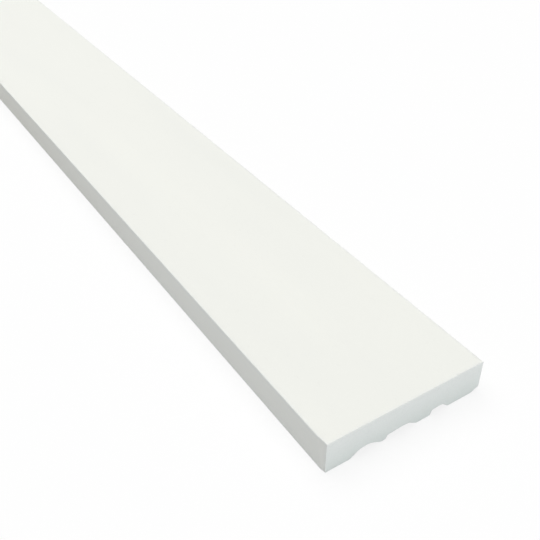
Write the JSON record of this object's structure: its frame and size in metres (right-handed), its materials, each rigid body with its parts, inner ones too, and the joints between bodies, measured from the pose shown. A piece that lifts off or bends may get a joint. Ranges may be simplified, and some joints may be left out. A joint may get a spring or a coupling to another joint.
{
  "type": "fibre cement trim board",
  "caption": "Flat white trim board with a smooth show face, eased long edges and a hollowed back that bears on flat feet.",
  "frame": {"origin": "on the floor under the middle of the board, in the plane of the feet of its back", "axes": "+X across the face, +Y along the board, +Z out of the show face"},
  "size_m": [0.0888, 3.6576, 0.0178],
  "materials": {
    "primed_board": "matte"
  },
  "bodies": {
    "root": {"trim_board": "primed_board"}
  },
  "joints": []
}
